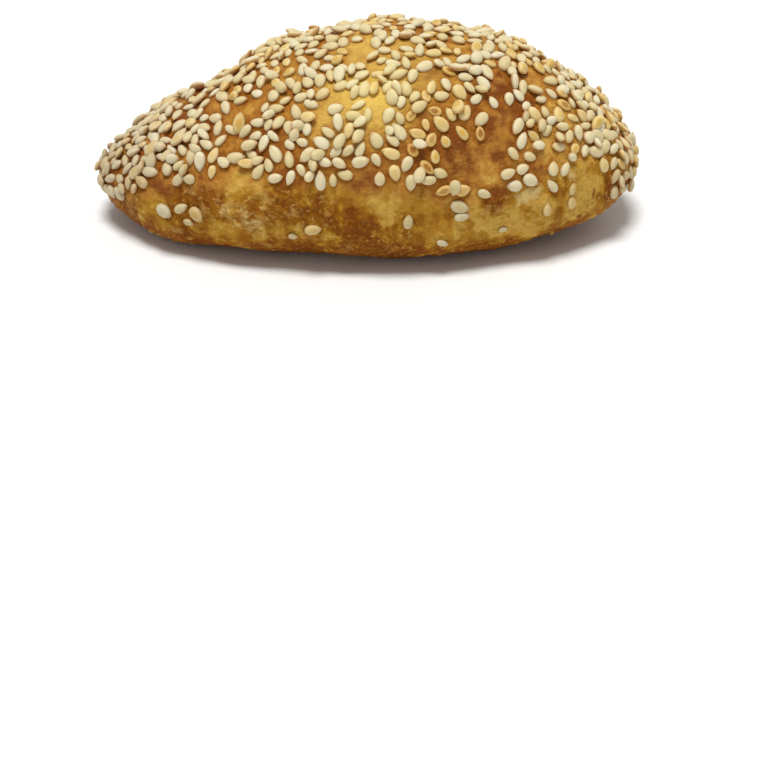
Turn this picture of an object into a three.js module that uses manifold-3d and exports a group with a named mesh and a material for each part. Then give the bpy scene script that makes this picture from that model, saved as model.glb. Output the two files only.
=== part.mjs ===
// A pogaca: a small savoury bun of folded dough, almond-shaped from above, with a domed top,
// a flat base and sesame seeds baked into its egg-washed crust. It is one solid.
// Millimetres, +Z up. The origin is on the table under the middle of the bun, with +X towards
// the blunt end, -X towards the pointed end and -Y towards the shown side.
// A place on the crust is a share "along" the length, from -1 at the pointed end to 1 at the
// blunt end, and an "angle" round it: 0 on the shown side, 90 on the crest, 180 at the back.

import * as THREE from "three";
import { mergeVertices } from "three/addons/utils/BufferGeometryUtils.js";
import Module from "manifold-3d";

// Driving sizes of the bun, without its seeds
const LENGTH = 102;
const WIDTH = 54;
const HEIGHT = 37.7;
const WIDEST_AT = -0.03; // along
const HIGHEST_AT = 0.13; // along

// Height of the widest line: at the two tips and at the middle
const POINTED_TIP_HEIGHT = 9.9;
const BLUNT_TIP_HEIGHT = 12;
const BELT_HEIGHT = 10;

// How fast each profile fills out, at the pointed and at the blunt end: 0.5 is an ellipse
const PLAN_FULLNESS = [0.64, 0.5];
const CREST_FULLNESS = [0.92, 0.75];
const UNDERSIDE_FULLNESS = [0.25, 0.41];
const UNDERSIDE_SQUARENESS = 2.6; // 2 is an ellipse
const BASE_TRIM = 1.75; // depth of the round underside that the baking tray pressed flat

// Broad swells (+) and dents (-) of the dough
const SWELLS = [
  { along: -0.82, angle: 104, push: 0.2, reach: 5 },
  { along: -0.53, angle: 108, push: -2.1, reach: 8 },
  { along: -0.4, angle: 108, push: 1.1, reach: 6 },
  { along: -0.1, angle: 106, push: -0.8, reach: 6 },
  { along: 0.12, angle: 112, push: 0.8, reach: 6 },
  { along: 0.29, angle: 112, push: -1.3, reach: 8 },
  { along: 0.49, angle: 108, push: 0.9, reach: 7 },
  { along: 0.66, angle: 106, push: -0.7, reach: 7 },
  { along: -0.77, angle: -32, push: 1.3, reach: 8 },
  { along: -0.2, angle: -32, push: -1.4, reach: 11 },
  { along: 0.42, angle: 25, push: -0.7, reach: 6 },
  { along: -0.44, angle: 30, push: -0.7, reach: 5 },
  { along: 0.05, angle: 35, push: 0.6, reach: 10 },
];
const CORE_SHARE = 0.75; // the line that swells push away from ends this share of the way to the tips
const RIPPLE_DEPTH = 0.35;
const RIPPLE_LENGTH = 19; // from crest to crest, lengthways
const RIPPLE_WIDTH = 24; // from crest to crest, around

// Sesame seeds
const SEED_LENGTH = 3.1;
const SEED_WIDTH = 2;
const SEED_THICKNESS = 1.1;
const SEED_SIZE_SPREAD = 0.18;
const SEED_TAPER = 0.45; // how much narrower the tip's half is, and wider the other half
const SEED_SUNK = 0.32; // share of the thickness that lies in the crust
const SEED_SIDES = 4;
const SEED_RINGS = 3;
const SEED_SPACING = 4.3; // least distance between two scattered seeds
const SEED_TRIES = 12000;
const RANDOM_START = 20240611;

// Where seeds lie: above a wavy line that dips at the tips, less in the bare patches
const SEED_LINE = 17.2;
const SEED_LINE_DIPS = [11, 8]; // at the pointed and at the blunt tip
const SEED_LINE_DIP_POWER = 4; // more keeps the dips closer to the tips
const SEED_LINE_WAVE = 1.6;
const SEED_LINE_WAVE_LENGTH = 56;
const SEED_LINE_WAVE_START = -51; // x + y where the line starts to rise
const SEED_LINE_SOFTNESS = 1.6;
const BARE_PATCHES = [
  { along: -0.41, angle: 57, reach: 3.1 },
  { along: -0.48, angle: 55, reach: 2.3 },
  { along: -0.48, angle: 42, reach: 2.7 },
  { along: -0.55, angle: 67, reach: 2.3 },
  { along: -0.73, angle: 22, reach: 2.5 },
  { along: -0.8, angle: 12, reach: 2.6 },
  { along: -0.59, angle: 23, reach: 2.6 },
  { along: -0.51, angle: 21, reach: 3.1 },
  { along: -0.45, angle: 24, reach: 2.2 },
  { along: -0.1, angle: 52, reach: 2.4 },
  { along: -0.16, angle: 44, reach: 1.9 },
  { along: 0.02, angle: 39, reach: 1.9 },
  { along: 0.03, angle: 49, reach: 2.4 },
  { along: -0.03, angle: 75, reach: 2.4 },
  { along: 0.2, angle: 59, reach: 2.3 },
  { along: -0.01, angle: 21, reach: 3.1 },
  { along: 0.05, angle: 14, reach: 3 },
  { along: 0.14, angle: 13, reach: 2.6 },
  { along: 0.22, angle: 11, reach: 2.6 },
  { along: 0.18, angle: 26, reach: 1.8 },
  { along: 0.31, angle: 23, reach: 2.4 },
  { along: 0.34, angle: 19, reach: 2.2 },
  { along: 0.36, angle: 31, reach: 2.1 },
  { along: 0.44, angle: 20, reach: 3.8 },
  { along: 0.45, angle: 32, reach: 2.9 },
  { along: 0.46, angle: 44, reach: 2.7 },
  { along: 0.47, angle: 60, reach: 2.7 },
  { along: 0.6, angle: 71, reach: 2.9 },
  { along: 0.63, angle: 26, reach: 2.5 },
  { along: 0.76, angle: 22, reach: 2.9 },
  { along: 0.82, angle: 15, reach: 2.4 },
  { along: 0.85, angle: 10, reach: 2.9 },
  { along: -0.3, angle: 140, reach: 3.6 },
  { along: -0.22, angle: 152, reach: 3 },
  { along: 0.2, angle: 128, reach: 3.2 },
  { along: 0.5, angle: 142, reach: 3.4 },
  { along: 0.42, angle: 160, reach: 3.4 },
  { along: -0.62, angle: 132, reach: 2.8 },
];
const PATCH_HARDNESS = 2; // 1 fades from the patch's middle, more keeps a wider part of it bare
const LOWEST_ANGLE = -35; // of the random places
const HIGHEST_ANGLE = 215;

// Seeds that fell on the bare side: along, angle, heading in degrees and size
const STRAY_SEEDS = [
  [-0.722, -1.5, -30, 1.15],
  [-0.664, 2.8, 30, 0.95],
  [-0.607, 0.5, -42, 1.1],
  [-0.64, -6.5, 5, 0.8],
  [-0.19, -0.5, 8, 1.08],
  [-0.264, -6.9, 0, 0.65],
  [0.145, 2.8, 80, 0.95],
  [0.268, -12.1, -25, 0.75],
  [0.338, 13.6, 15, 1.0],
  [0.327, 7.0, -22, 1.15],
  [0.336, 3.0, 0, 0.9],
  [0.733, 9.0, 85, 0.85],
  [0.731, 0.5, 92, 0.9],
  [0.638, 0.5, 80, 0.85],
  [0.49, -9.5, 0, 0.6],
  [0.661, 21.6, 80, 0.95],
  [0.704, 21.6, 65, 1.0],
  [0.659, 12.6, 130, 0.9],
  [0.899, -6.1, 75, 0.95],
  [0.497, 19.8, 20, 1.0],
  [0.52, 14.1, 175, 1.0],
  [-0.67, 24.2, 35, 1.1],
  [-0.808, 21.4, 145, 1.15],
];

const FINE_STEP = 1e-4; // for slopes
const BUN_DETAIL = 10; // each of the 20 faces of an icosahedron splits into (detail + 1)^2

const mix = (a, b, share) => a + (b - a) * share;
const smooth = (share) => share * share * (3 - 2 * share);
const clamp01 = (value) => Math.min(1, Math.max(0, value));
const wave = (distance, length) => Math.sin((2 * Math.PI * distance) / length);

// Moves the middle of a profile to its peak and keeps its two ends.
const shifted = (along, peak) => (along - peak) / (1 - peak * along);

// A profile that is 1 in the middle and 0 at the ends.
function profile(along, [pointed, blunt]) {
  const fullness = mix(pointed, blunt, smooth((along + 1) / 2));
  return Math.pow(Math.max(0, 1 - along * along), fullness);
}

// Height of the bun's widest line.
function belt(along) {
  const tips = mix(POINTED_TIP_HEIGHT, BLUNT_TIP_HEIGHT, (along + 1) / 2);
  const middle = (POINTED_TIP_HEIGHT + BLUNT_TIP_HEIGHT) / 2;
  return tips + (BELT_HEIGHT - middle) * (1 - along * along);
}

// A point of the plain bun, before swells: an ellipse above the belt, a squarer curve below.
function plainPoint(along, angle) {
  const across = Math.cos(angle);
  const upward = Math.sin(angle);
  const halfWidth = (WIDTH / 2) * profile(shifted(along, WIDEST_AT), PLAN_FULLNESS);
  const middle = belt(along);
  const point = new THREE.Vector3((along * LENGTH) / 2, -halfWidth * across, middle);
  if (upward >= 0) {
    const rise = (HEIGHT - middle) * profile(shifted(along, HIGHEST_AT), CREST_FULLNESS);
    point.z += rise * upward;
  } else {
    const power = 2 / UNDERSIDE_SQUARENESS;
    const drop = (middle + BASE_TRIM) * profile(along, UNDERSIDE_FULLNESS);
    point.y = -halfWidth * Math.sign(across) * Math.pow(Math.abs(across), power);
    point.z -= drop * Math.pow(-upward, power);
  }
  return point;
}

// A place on the plain bun, given in degrees, with its reach for swells and bare patches.
const placed = ({ along, angle, ...rest }) => ({
  ...rest,
  centre: plainPoint(along, THREE.MathUtils.degToRad(angle)),
});
const placedSwells = SWELLS.map(placed);
const placedPatches = BARE_PATCHES.map(placed);

// How strongly something centred elsewhere is felt at a point: 1 there, fading with distance.
const nearness = (point, { centre, reach }) => Math.exp(-point.distanceToSquared(centre) / (reach * reach));

// A point of the crust, with swells, ripples and the flat base.
function crustPoint(along, angle) {
  const point = plainPoint(along, angle);
  const core = new THREE.Vector3(point.x * CORE_SHARE, 0, belt(along));
  const outward = point.clone().sub(core).normalize();
  const swelling = placedSwells.reduce((sum, swell) => sum + swell.push * nearness(point, swell), 0);
  const ripple = wave(point.x, RIPPLE_LENGTH) * wave(point.y - point.z, RIPPLE_WIDTH);
  point.addScaledVector(outward, swelling + RIPPLE_DEPTH * ripple);
  point.z = Math.max(0, point.z);
  return point;
}

// The crust's outward direction.
function crustNormal(along, angle) {
  const lengthways = crustPoint(along + FINE_STEP, angle).sub(crustPoint(along - FINE_STEP, angle));
  const around = crustPoint(along, angle + FINE_STEP).sub(crustPoint(along, angle - FINE_STEP));
  return lengthways.cross(around).normalize();
}

// Random numbers from 0 to 1 that are the same on every run.
let randomState = RANDOM_START;
function random() {
  randomState = (randomState + 0x6d2b79f5) >>> 0;
  let mixed = Math.imul(randomState ^ (randomState >>> 15), randomState | 1);
  mixed = (mixed + Math.imul(mixed ^ (mixed >>> 7), mixed | 61)) ^ mixed;
  return ((mixed ^ (mixed >>> 14)) >>> 0) / 4294967296;
}

// How likely the crust is to hold a seed there, from 0 to 1.
function seedChance(point, along) {
  const unevenness = SEED_LINE_WAVE * wave(point.x + point.y - SEED_LINE_WAVE_START, SEED_LINE_WAVE_LENGTH);
  const dip = SEED_LINE_DIPS[along < 0 ? 0 : 1] * Math.abs(along) ** SEED_LINE_DIP_POWER;
  const line = SEED_LINE - dip + unevenness;
  const chance = clamp01((point.z - line) / SEED_LINE_SOFTNESS + 0.5);
  const bareness = (patch) => clamp01(PATCH_HARDNESS * nearness(point, patch));
  return placedPatches.reduce((share, patch) => share * (1 - bareness(patch)), chance);
}

// A seed lying on the crust, with its tip along the heading.
function seedAt(along, angle, heading, size) {
  const normal = crustNormal(along, angle);
  const lengthways = new THREE.Vector3(1, 0, 0).addScaledVector(normal, -normal.x).normalize();
  const tip = lengthways.applyAxisAngle(normal, heading);
  return { point: crustPoint(along, angle), normal, tip, size };
}

// The strays, and random places that lie clear of every seed before them.
function scatterSeeds() {
  const radians = THREE.MathUtils.degToRad;
  const seeds = STRAY_SEEDS.map(([along, angle, heading, size]) =>
    seedAt(along, radians(angle), radians(heading), size),
  );
  for (let attempt = 0; attempt < SEED_TRIES; attempt++) {
    const along = 2 * random() - 1;
    const angle = radians(mix(LOWEST_ANGLE, HIGHEST_ANGLE, random()));
    const heading = 2 * Math.PI * random();
    const size = 1 + SEED_SIZE_SPREAD * (2 * random() - 1);
    const luck = random();
    const point = crustPoint(along, angle);
    const isClear = seeds.every((seed) => seed.point.distanceTo(point) >= SEED_SPACING);
    if (isClear && luck < seedChance(point, along)) {
      seeds.push(seedAt(along, angle, heading, size));
    }
  }
  return seeds;
}

// One seed's own shape: a flat drop with its tip along +Y, its faces up and down Z.
function seedShape() {
  const shape = new THREE.SphereGeometry(0.5, SEED_SIDES, SEED_RINGS);
  const corners = shape.getAttribute("position");
  for (let i = 0; i < corners.count; i++) {
    const narrowing = 1 - SEED_TAPER * 2 * corners.getY(i);
    corners.setXYZ(
      i,
      corners.getX(i) * narrowing * SEED_WIDTH,
      corners.getY(i) * SEED_LENGTH,
      corners.getZ(i) * SEED_THICKNESS,
    );
  }
  return shape;
}

// The bun without seeds: a ball of even triangles, drawn out to the crust.
function bunShape() {
  const shape = new THREE.IcosahedronGeometry(1, BUN_DETAIL);
  const corners = shape.getAttribute("position");
  const corner = new THREE.Vector3();
  for (let i = 0; i < corners.count; i++) {
    corner.fromBufferAttribute(corners, i).normalize();
    const place = crustPoint(corner.x, Math.atan2(corner.z, -corner.y));
    corners.setXYZ(i, place.x, place.y, place.z);
  }
  return shape;
}

const wasm = await Module();
wasm.setup();

// A closed geometry as a solid that can be joined.
function solidOf(geometry) {
  const bare = geometry.clone();
  bare.deleteAttribute("normal");
  bare.deleteAttribute("uv");
  const merged = mergeVertices(bare);
  return new wasm.Manifold(
    new wasm.Mesh({
      numProp: 3,
      vertProperties: merged.getAttribute("position").array,
      triVerts: new Uint32Array(merged.index.array),
    }),
  );
}

// A joined solid as a geometry with flat facets.
function geometryOf(solid) {
  const { vertProperties, triVerts } = solid.getMesh();
  const indexed = new THREE.BufferGeometry();
  indexed.setAttribute("position", new THREE.BufferAttribute(vertProperties, 3));
  indexed.setIndex(new THREE.BufferAttribute(triVerts, 1));
  const geometry = indexed.toNonIndexed();
  geometry.computeVertexNormals();
  return geometry;
}

function seededBun() {
  const drop = seedShape();
  const seeds = scatterSeeds().map(({ point, normal, tip, size }) => {
    const sideways = new THREE.Vector3().crossVectors(tip, normal);
    const lift = SEED_THICKNESS * size * (0.5 - SEED_SUNK);
    const pose = new THREE.Matrix4().makeBasis(sideways, tip, normal);
    pose.scale(new THREE.Vector3(size, size, size));
    pose.setPosition(point.clone().addScaledVector(normal, lift));
    return solidOf(drop.clone().applyMatrix4(pose));
  });
  return geometryOf(wasm.Manifold.union([solidOf(bunShape()), ...seeds]));
}

const crust = new THREE.MeshStandardMaterial({ color: 0xb9803a, roughness: 0.55, metalness: 0 });

const pogaca = new THREE.Mesh(seededBun(), crust);
pogaca.name = "pogaca";

const part = new THREE.Group();
part.add(pogaca);

export default part;
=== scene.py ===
"""The looks of a pogaca: a savoury bun with a browned, egg-washed crust and sesame seeds.

The crust and its seeds follow the same rule as the part's solid, in the same frame. Sizes are in
millimetres, and become metres as meshes are made. A place on the crust is a share "along" the
length, from -1 at the pointed end to 1 at the blunt end, and an "angle" round it in degrees: 0 on
the shown side, 90 on the crest and 180 at the back.
"""
import math

import bmesh
import bpy
import numpy as np
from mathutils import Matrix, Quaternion, Vector


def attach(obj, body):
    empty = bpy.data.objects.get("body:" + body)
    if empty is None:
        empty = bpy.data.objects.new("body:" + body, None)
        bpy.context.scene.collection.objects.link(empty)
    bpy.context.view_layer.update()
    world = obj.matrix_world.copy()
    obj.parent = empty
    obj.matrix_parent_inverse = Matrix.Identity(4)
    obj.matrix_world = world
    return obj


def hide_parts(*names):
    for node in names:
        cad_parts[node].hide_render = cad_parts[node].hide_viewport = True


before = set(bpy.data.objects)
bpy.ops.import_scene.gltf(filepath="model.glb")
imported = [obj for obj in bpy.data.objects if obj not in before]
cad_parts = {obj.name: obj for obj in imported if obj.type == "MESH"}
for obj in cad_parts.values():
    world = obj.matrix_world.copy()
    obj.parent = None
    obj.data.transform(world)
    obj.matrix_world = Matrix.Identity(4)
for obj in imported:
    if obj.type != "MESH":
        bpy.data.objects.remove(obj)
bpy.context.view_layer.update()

MM = 0.001

# Driving sizes of the bun, without its seeds
LENGTH = 102
WIDTH = 54
HEIGHT = 37.7
WIDEST_AT = -0.03
HIGHEST_AT = 0.13

# Height of the widest line: at the two tips and at the middle
TIP_HEIGHTS = (9.9, 12)
BELT_HEIGHT = 10

# How fast each profile fills out, at the pointed and at the blunt end: 0.5 is an ellipse
PLAN_FULLNESS = (0.64, 0.5)
CREST_FULLNESS = (0.92, 0.75)
UNDERSIDE_FULLNESS = (0.25, 0.41)
UNDERSIDE_SQUARENESS = 2.6
BASE_TRIM = 1.75

# Broad swells and dents of the dough: along, angle, reach and push
SWELLS = (
    (-0.82, 104, 5, 0.2),
    (-0.53, 108, 8, -2.1),
    (-0.4, 108, 6, 1.1),
    (-0.1, 106, 6, -0.8),
    (0.12, 112, 6, 0.8),
    (0.29, 112, 8, -1.3),
    (0.49, 108, 7, 0.9),
    (0.66, 106, 7, -0.7),
    (-0.77, -32, 8, 1.3),
    (-0.2, -32, 11, -1.4),
    (0.42, 25, 6, -0.7),
    (-0.44, 30, 5, -0.7),
    (0.05, 35, 10, 0.6),
)
# They push away from a core line that has this share of the length
CORE_SHARE = 0.75
# Ripples all over: depth, and wave lengths along and across
RIPPLE_DEPTH = 0.35
RIPPLE_LENGTH = 19
RIPPLE_WIDTH = 24
# Steps over which the crust's directions are measured: along, and in degrees
ALONG_STEP = 0.0001
ANGLE_STEP = 0.005

# Fine relief of the crust: a net with more of its lines on top, and sizes of what rises from it
CRUST_SPLITS = 126
CRUST_CROWDING = 0.35
RELIEF = {
    "Puff Depth": 0.5,
    "Puff Size": 7.0,
    "Blister Depth": 1.1,
    "Blister Size": 1.5,
    "Bubble Height": 0.22,
    "Bubble Spacing": 2.3,
    "Drip Depth": 0.5,
    "Drip Size": 2.6,
    "Flake Height": 0.22,
    "Flake Size": 3.2,
    "Flaky Place Size": 11.0,
    "Socket Depth": 0.16,
    "Socket Reach": 1.5,
    "Seed": 3.0,
}
# Share of the relief that the egg wash fills
WASHED_SMOOTHNESS = 0.7
# Drips run down, so they are drawn out along Z
DRIP_STRETCH = (1, 1, 0.25)
# Pattern values between which bubbles, flaky places and their flakes set in
BUBBLE_EDGE = (0.42, 0.12)
BUBBLE_CHANCE = (0.5, 0.9)
FLAKY_PLACE_EDGE = (0.36, 0.54)
FLAKE_EDGE = (0.52, 0.6)
# Heights between which the relief sets in above the flat base
BASE_EDGE = (0.2, 2.5)
# Heights from the seed line between which the egg wash sets in
WASH_EDGE = (-3.5, 1.5)

# Browner (+) and paler (-) places of the crust: along, angle, reach and strength
BROWNING = (
    (-0.06, 2, 3.2, 0.16),
    (-0.09, -7, 4, 0.07),
    (-0.04, -7, 3, 0.05),
    (0.03, -3, 4, 0.08),
    (-0.15, 9, 4, 0.06),
    (-0.27, 10, 4.5, 0.1),
    (0.03, 10, 3, -0.1),
    (0.08, 1, 3, 0.09),
    (0.22, -6, 4, 0.06),
    (0.24, -3, 7, -0.08),
    (0.365, -1, 3, -0.06),
    (0.51, -16, 3.5, -0.12),
    (0.51, -2, 3, -0.08),
    (0.36, 8, 4, -0.1),
    (0.58, -6, 6, -0.12),
    (0.456, 12, 1.5, 0.3),
    (0.462, 6, 1.5, 0.25),
    (0.665, 8, 1.3, 0.2),
    (0.425, 4, 1.5, 0.2),
    (0.576, 2, 1.5, 0.16),
    (0.58, -5, 1.8, 0.16),
    (0.605, 15, 1.3, 0.2),
    (0.695, -6, 2, 0.07),
    (0.9, -2, 2.4, 0.12),
    (-0.37, -13, 6, -0.1),
    (-0.5, -14, 6, -0.08),
    (-0.75, -7, 5, -0.1),
    (-0.487, 0.6, 2.5, -0.09),
    (0.78, -2, 6, -0.07),
    (0.3, 32, 7, 0.24),
    (0.5, 56, 7, 0.24),
    (-0.45, 72, 9, 0.1),
    (-0.4, 3, 12, 0.06),
    (-0.33, 32, 5, 0.06),
    (-0.55, 55, 12, 0.08),
    (-0.85, 40, 8, 0.2),
    (-0.47, 40, 4, -0.12),
    (-0.44, 20, 5, -0.1),
    (0.44, 30, 5, -0.08),
    (0.1, 88, 16, -0.12),
    (0.02, 50, 8, -0.1),
    (0.82, 40, 10, -0.12),
    (0.82, 25, 2.2, 0.14),
    (0.86, 22, 2, 0.16),
    (0.866, -3, 2.2, 0.12),
    (0.76, 22, 1.8, 0.1),
    (0.71, 13, 1.6, 0.16),
    (-0.17, 27, 8, -0.06),
)
# The base and its edge, browned by the tray and darkened with painted shade low down: strength, and
# heights between which it fades
EDGE_BROWNING_AND_SHADE = 0.32
BROWNED_AND_SHADED_EDGE = (0.5, 9)
# Bare crust above the seed line: along, angle, reach and strength
UNWASHED_PLACES = (
    (0.78, 14, 6, 0.8),
    (0.87, 8, 6, 0.7),
)
# Paler yellow places where the wash missed: along, angle, reach and strength
YELLOW_PATCHES = (
    (0.04, 49, 5.5, 0.6),
    (-0.06, 53, 6, 0.45),
    (0.1, 62, 7, 0.4),
    (-0.03, 77, 3.5, 0.4),
)
# Places with flour still on them: along, angle, reach and strength
FLOURY_PATCHES = (
    (-0.51, 8, 2, 0.25),
    (-0.45, 4, 2.4, 0.35),
    (-0.39, -1, 2.2, 0.35),
    (-0.15, 14, 1.8, 0.25),
    (0.6, 10.5, 1.4, 0.7),
    (0.565, 9, 1.4, 0.5),
    (0.535, 7.5, 1.2, 0.4),
    (0.732, 17, 0.8, 0.7),
)
# Small scorched marks: along, angle, reach and strength
SCORCHES = (
    (0.812, 7.5, 0.45, 0.5),
    (0.822, 4, 0.45, 0.55),
    (0.822, 1, 0.45, 0.6),
    (0.821, -2, 0.45, 0.5),
    (0.818, -8, 0.5, 0.4),
    (0.77, -18, 0.8, 0.6),
    (0.741, 14, 1, 0.4),
    (-0.045, 0, 0.6, 0.5),
    (-0.02, -2, 0.5, 0.5),
)

# Colours of the crust as on a screen, from 0 to 255
CRUST_COLOURS = {
    "pale side": (211, 168, 76),
    "golden side": (186, 136, 40),
    "brown side": (157, 99, 14),
    "dark side": (131, 69, 4),
    "mottles": (158, 102, 22),
    # painted shade in the relief's pits
    "pit shade": (112, 62, 10),
    "bubbles": (206, 162, 72),
    "flecks": (218, 176, 88),
    "flakes": (218, 182, 104),
    "flour": (226, 198, 130),
    "light top": (219, 174, 82),
    "golden top": (189, 130, 50),
    "brown top": (132, 71, 22),
    # crust round the seeds: egg wash pooled there, and painted shade
    "seed stain and shade": (158, 90, 16),
    "yellow": (238, 200, 98),
    "scorches": (140, 62, 12),
    "specks": (120, 66, 22),
}
# Steps from the lightest colour to the darkest, with the pattern values between which each sets in
SIDE_STEPS = (
    ("golden side", (-0.105, -0.035)),
    ("brown side", (-0.025, 0.055)),
    ("dark side", (0.075, 0.195)),
)
TOP_STEPS = (
    ("golden top", (0.38, 0.5)),
    ("brown top", (0.48, 0.62)),
)
# Distances from a seed's middle between which the crust darkens round it, partly from egg wash pooled
# there and partly painted shade: outer and inner
SEED_STAIN_AND_SHADE = (2.1, 1.2)
BARE_ROUGHNESS = 0.6
WASHED_ROUGHNESS = 0.36
GRAIN_DEPTH = 0.4

# Where seeds lie: above a wavy line that dips at the tips, less in the bare patches
SEED_LINE = 17.2
SEED_LINE_DIPS = (11, 8)
SEED_LINE_DIP_POWER = 4
SEED_LINE_WAVE = 1.6
SEED_LINE_WAVE_LENGTH = 56
SEED_LINE_WAVE_START = -51
SEED_LINE_SOFTNESS = 1.6
# Bare patches: along, angle and reach
BARE_PATCHES = (
    (-0.41, 57, 3.1),
    (-0.48, 55, 2.3),
    (-0.48, 42, 2.7),
    (-0.55, 67, 2.3),
    (-0.73, 22, 2.5),
    (-0.8, 12, 2.6),
    (-0.59, 23, 2.6),
    (-0.51, 21, 3.1),
    (-0.45, 24, 2.2),
    (-0.1, 52, 2.4),
    (-0.16, 44, 1.9),
    (0.02, 39, 1.9),
    (0.03, 49, 2.4),
    (-0.03, 75, 2.4),
    (0.2, 59, 2.3),
    (-0.01, 21, 3.1),
    (0.05, 14, 3),
    (0.14, 13, 2.6),
    (0.22, 11, 2.6),
    (0.18, 26, 1.8),
    (0.31, 23, 2.4),
    (0.34, 19, 2.2),
    (0.36, 31, 2.1),
    (0.44, 20, 3.8),
    (0.45, 32, 2.9),
    (0.46, 44, 2.7),
    (0.47, 60, 2.7),
    (0.6, 71, 2.9),
    (0.63, 26, 2.5),
    (0.76, 22, 2.9),
    (0.82, 15, 2.4),
    (0.85, 10, 2.9),
    (-0.3, 140, 3.6),
    (-0.22, 152, 3),
    (0.2, 128, 3.2),
    (0.5, 142, 3.4),
    (0.42, 160, 3.4),
    (-0.62, 132, 2.8),
)
PATCH_HARDNESS = 2
# Angles between which seeds are tried
ANGLE_LIMITS = (-35, 215)
RANDOM_START = 20240611
# Close seeds gather in slanting clumps and at both ends
CLUMP_LENGTH = 17
CLUMP_WIDTH = 13
CLUMP_SLANT = 0.5
CLUMP_SHIFT = 4
CLUMP_STRENGTH = 0.55
END_STRENGTH = 1.1
ENDS_FROM = 0.45
CLOSE_SHARE = 0.54
LEAST_SHARE = 0.2
# Places with fewer (+) or more (-) of the close seeds: along, angle, reach and strength
THIN_PLACES = (
    (0.31, 31, 7, 0.9),
    (0.64, 40, 6, 0.5),
    (0.52, 67, 5, 0.4),
    (-0.55, 80, 6, 0.6),
    (0.25, 88, 7, 0.6),
    (-0.4, 72, 5, -0.5),
    (-0.52, 46, 6, -0.5),
    (-0.27, 45, 9, -0.9),
    (-0.12, 28, 7, -0.6),
    (-0.41, 88, 7, -0.4),
    (0.84, 48, 8, 0.3),
    (0.05, 46, 8, -0.9),
    (0, 90, 9, 0.6),
    (-0.3, 57, 7, -0.5),
    (0.06, 64, 6, -0.5),
    (0.74, 84, 8, -0.9),
    (0.2, 24, 4, -0.4),
)
# Places where seeds lie on seeds: along, angle, reach and strength
PILED_PLACES = (
    (-0.92, 20, 7, 0.4),
    (-0.85, 50, 8, 0.4),
    (-0.65, 80, 9, 0.5),
    (-0.3, 106, 9, 0.6),
    (0.14, 106, 9, 0.9),
    (0.37, 106, 8, 0.9),
    (0.72, 82, 9, 0.8),
    (0.71, 102, 6, 0.8),
    (0.9, 50, 9, 0.6),
    (0.95, 150, 9, 0.8),
)
# How far a seed's size may be from the usual one, as a share of it
SEED_SIZE_SPREAD = 0.18
# A seed's two lobes lie this far from its middle, and keep clear of the lobes of seeds within a margin
LOBE_OFFSET = 0.5
LOBE_MARGIN = 1.4
# Random numbers for each try: along, angle, heading, size and luck
DRAWS_PER_TRY = 5
# Passes of the scatter: tries, least spacing and least gap between lobes
PASSES = (
    (12000, 4.3, 0.0),
    (12000, 3.0, 1.95),
    (30000, 2.0, 1.85),
    (30000, 1.8, 1.55),
    (20000, 1.6, 1.2),
    (20000, 1.5, 1.0),
)
# A seed leans on a neighbour that lies nearer than the second gap, and lies right on it at the first
LEANING_GAPS = (1.5, 2.6)
LEANING_LIFT = 0.7
# Greatest tilt in degrees, and the share of it round each axis
FLAT_TILT = 11
LEANING_TILT = 38
TILT_SHARES = (1, 0.3, 1)
# Seeds that fell on the bare side: along, angle, heading in degrees and size
STRAY_SEEDS = (
    (-0.722, -1.5, -30, 1.15),
    (-0.664, 2.8, 30, 0.95),
    (-0.607, 0.5, -42, 1.1),
    (-0.64, -6.5, 5, 0.8),
    (-0.19, -0.5, 8, 1.08),
    (-0.264, -6.9, 0, 0.65),
    (0.145, 2.8, 80, 0.95),
    (0.268, -12.1, -25, 0.75),
    (0.338, 13.6, 15, 1.0),
    (0.327, 7.0, -22, 1.15),
    (0.336, 3.0, 0, 0.9),
    (0.733, 9.0, 85, 0.85),
    (0.731, 0.5, 92, 0.9),
    (0.638, 0.5, 80, 0.85),
    (0.49, -9.5, 0, 0.6),
    (0.661, 21.6, 80, 0.95),
    (0.704, 21.6, 65, 1.0),
    (0.659, 12.6, 130, 0.9),
    (0.899, -6.1, 75, 0.95),
    (0.497, 19.8, 20, 1.0),
    (0.52, 14.1, 175, 1.0),
    (-0.67, 24.2, 35, 1.1),
    (-0.808, 21.4, 145, 1.15),
)
# More that the solid leaves out: two on the shown side, and the rest low on the back
LATER_STRAYS = (
    (0.044, 20, 90, 0.95),
    (-0.022, 26.5, 10, 1.05),
    (-0.52, 186, 40, 1.0),
    (-0.47, 179, 115, 0.9),
    (-0.2, 183, 10, 1.1),
    (0.08, 174, 150, 0.95),
    (0.11, 180, 60, 1.05),
    (0.36, 189, 85, 0.8),
    (0.55, 178, 25, 1.0),
    (0.6, 172, 130, 0.9),
    (0.78, 190, 70, 0.85),
)

# The seeds themselves
SEED_FORM = {
    "Length": 3.05,
    "Width": 1.95,
    "Thickness": 1.3,
    "Taper": 0.22,
    "Sunk": 0.3,
    "Unevenness": 0.12,
    "Flatness": 0.9,
    "Seed": 5,
}
SEED_SEGMENTS = 8
SEED_RINGS = 7
SEED_GRAIN_DEPTH = 0.1
# How steeply a hollow's rim falls
HOLLOW_POWER = 4
# Kinds of seed: depth of the hollow, then the light, dark, tip and heart colours; the tip colour also
# paints shade round a seed's lower rim
SEED_KINDS = {
    "sesame_pale": (0.0, (227, 218, 186), (214, 195, 142), (188, 134, 62), (216, 197, 146)),
    "sesame_golden": (0.0, (229, 208, 150), (220, 192, 124), (190, 142, 70), (206, 166, 76)),
    "sesame_toasted": (0.4, (228, 198, 128), (212, 170, 90), (174, 118, 44), (152, 92, 12)),
}
SEED_TINTS = {
    "yellow": (248, 226, 130),
    "dusky": (204, 190, 163),
    # painted shade, multiplied over the seeds low on the side
    "dull": (234, 231, 226),
}
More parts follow.
